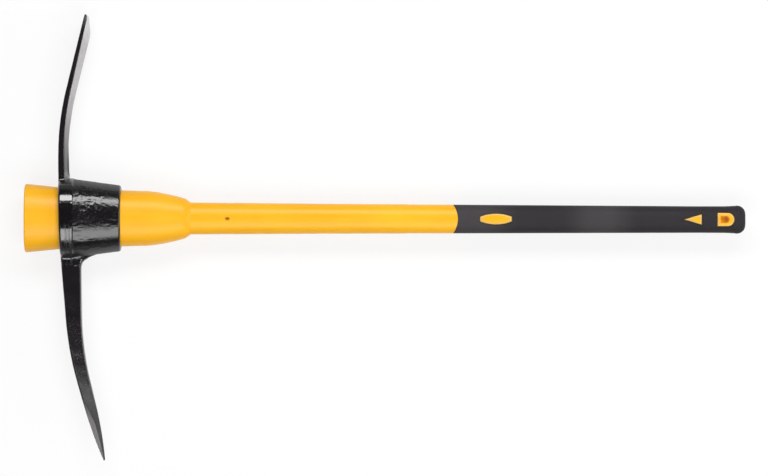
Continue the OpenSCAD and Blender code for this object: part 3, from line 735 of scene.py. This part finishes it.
# The ring has a second, glossier coat where it isn't rubbed off.
SECOND_COAT = 0.8
kept_gloss = add(tree, "Math", {0: 1.0, 1: rubbed_streaks.outputs[0]}, operation="SUBTRACT")
ring_gloss = add(tree, "Math", {0: on_ring.outputs[0], 1: kept_gloss.outputs[0]}, operation="MULTIPLY")
second_coat = add(tree, "Math", {0: ring_gloss.outputs[0], 1: SECOND_COAT}, operation="MULTIPLY")
tree.links.new(second_coat.outputs[0], shader.inputs["Coat Weight"])
shader.inputs["Coat Roughness"].default_value = 0.06

# Relief: orange peel in the paint of the socket and the point, dressing marks on the ring and grinding
# marks on the bare steel.
PEEL_MM = 2.0
PEEL_DEPTH = 0.00025
SOCKET_PEEL = 0.6
WORN_POINT_Y = (-0.09, -0.2)
WORN_POINT_PEEL = (0.1, 0.37)
DRESSING_DEPTH = 0.0004
GRIND_DEPTH = 0.00012
peel = add(tree, "TexNoise", {"Vector": place, "Scale": 1000 / PEEL_MM, "Detail": 3.0})
worn_point = add(tree, "MapRange", {
    "Value": axes.outputs["Y"], "From Min": WORN_POINT_Y[0], "From Max": WORN_POINT_Y[1],
    "To Min": WORN_POINT_PEEL[0], "To Max": WORN_POINT_PEEL[1],
}, interpolation_type="SMOOTHSTEP")
peel_height = add(tree, "Math", {
    0: on_socket.outputs[0], 1: SOCKET_PEEL, 2: worn_point.outputs["Result"],
}, operation="MULTIPLY_ADD")
orange_peel = add(tree, "Bump", {
    "Strength": peel_height.outputs[0], "Distance": PEEL_DEPTH, "Height": peel.outputs["Fac"],
})
marks_height = add(tree, "Math", {0: dressing.outputs["Fac"], 1: ring_marks.outputs[0]}, operation="MULTIPLY")
dressed = add(tree, "Bump", {
    "Strength": 0.5, "Distance": DRESSING_DEPTH,
    "Height": marks_height.outputs[0], "Normal": orange_peel.outputs["Normal"],
})
grooves = add(tree, "Math", {0: grinding.outputs["Fac"], 1: bare.outputs[0]}, operation="MULTIPLY")
grind_marks = add(tree, "Bump", {
    "Strength": 0.3, "Distance": GRIND_DEPTH,
    "Height": grooves.outputs[0], "Normal": dressed.outputs["Normal"],
})
tree.links.new(grind_marks.outputs["Normal"], shader.inputs["Normal"])

head.data.materials.append(enamel)
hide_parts("pick_head")
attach(head, "head")

# Photo set: a plain white table under the tool, a long soft light along each side, a weaker one off the
# butt, pale walls and a dark ceiling. The camera looks straight down from far off.
MIDDLE = Vector((0.45, 0.0, 0.0))
TABLE_HALF = 9.0
TABLE_WHITE = "#f4f4f4"
TABLE_LIFT = 0.8
bm = bmesh.new()
bmesh.ops.create_grid(bm, x_segments=1, y_segments=1, size=TABLE_HALF)
bmesh.ops.translate(bm, verts=bm.verts, vec=(MIDDLE.x, MIDDLE.y, cad_box[0].z))
table = set_down("table", mesh_of(bm, "table"))
white, tree, shader, place = new_material("white_table")
shader.inputs["Base Color"].default_value = linear(TABLE_WHITE)
shader.inputs["Roughness"].default_value = 0.9
shader.inputs["Specular IOR Level"].default_value = 0.1
path = add(tree, "LightPath", {})
seen = add(tree, "Math", {
    0: path.outputs["Is Camera Ray"], 1: path.outputs["Is Glossy Ray"],
}, operation="ADD")
seen_all = add(tree, "Math", {
    0: seen.outputs[0], 1: path.outputs["Is Transmission Ray"],
}, operation="ADD", use_clamp=True)
lift = add(tree, "Math", {0: seen_all.outputs[0], 1: TABLE_LIFT}, operation="MULTIPLY")
glow = add(tree, "Emission", {"Color": (1.0, 1.0, 1.0, 1.0), "Strength": 1.0})
lifted = add(tree, "MixShader", {
    0: lift.outputs[0], 1: shader.outputs["BSDF"], 2: glow.outputs["Emission"],
})
tree.links.new(lifted.outputs["Shader"], tree.nodes["Material Output"].inputs["Surface"])
table.data.materials.append(white)


def soft_light(name, at, size, power):
    """A rectangular lamp of the given size, pointed at the middle of the tool."""
    lamp = bpy.data.lights.new(name, "AREA")
    lamp.shape = "RECTANGLE"
    lamp.size, lamp.size_y = size
    lamp.energy = power
    holder = set_down(name, lamp)
    holder.location = at
    holder.rotation_euler = (MIDDLE - Vector(at)).to_track_quat("-Z", "Y").to_euler()


soft_light("chisel_side_light", at=(0.45, 1.26, 1.8), size=(2.4, 0.64), power=36)
soft_light("point_side_light", at=(0.45, -1.02, 1.95), size=(2.4, 1.1), power=32)
soft_light("butt_light", at=(2.6, 0.0, 1.2), size=(1.0, 0.8), power=14)

WALLS_END_Z = (0.25, 0.55)
WALL_LEVEL = 0.3
CEILING_LEVEL = 0.03
world = bpy.data.worlds.new("studio")
world.use_nodes = True
bpy.context.scene.world = world
tree = world.node_tree
sky = add(tree, "SeparateXYZ", {"Vector": add(tree, "TexCoord", {}).outputs["Generated"]})
walls = add(tree, "MapRange", {
    "Value": sky.outputs["Z"], "From Min": WALLS_END_Z[0], "From Max": WALLS_END_Z[1],
    "To Min": WALL_LEVEL, "To Max": CEILING_LEVEL,
}, interpolation_type="SMOOTHSTEP")
tree.links.new(walls.outputs["Result"], tree.nodes["Background"].inputs["Color"])

FIELD = 0.976
SENSOR_MM = 36.0
CAMERA_AT = (0.456, -0.0243, 6.0)
CAMERA_TURN = 0.12
lens = bpy.data.cameras.new("camera")
lens.sensor_width = SENSOR_MM
lens.lens = SENSOR_MM * CAMERA_AT[2] / FIELD
lens.clip_end = 50.0
camera = set_down("camera", lens)
camera.location = CAMERA_AT
camera.rotation_euler = (0.0, 0.0, math.radians(CAMERA_TURN))
bpy.context.scene.camera = camera
bpy.context.scene.view_settings.view_transform = "Standard"
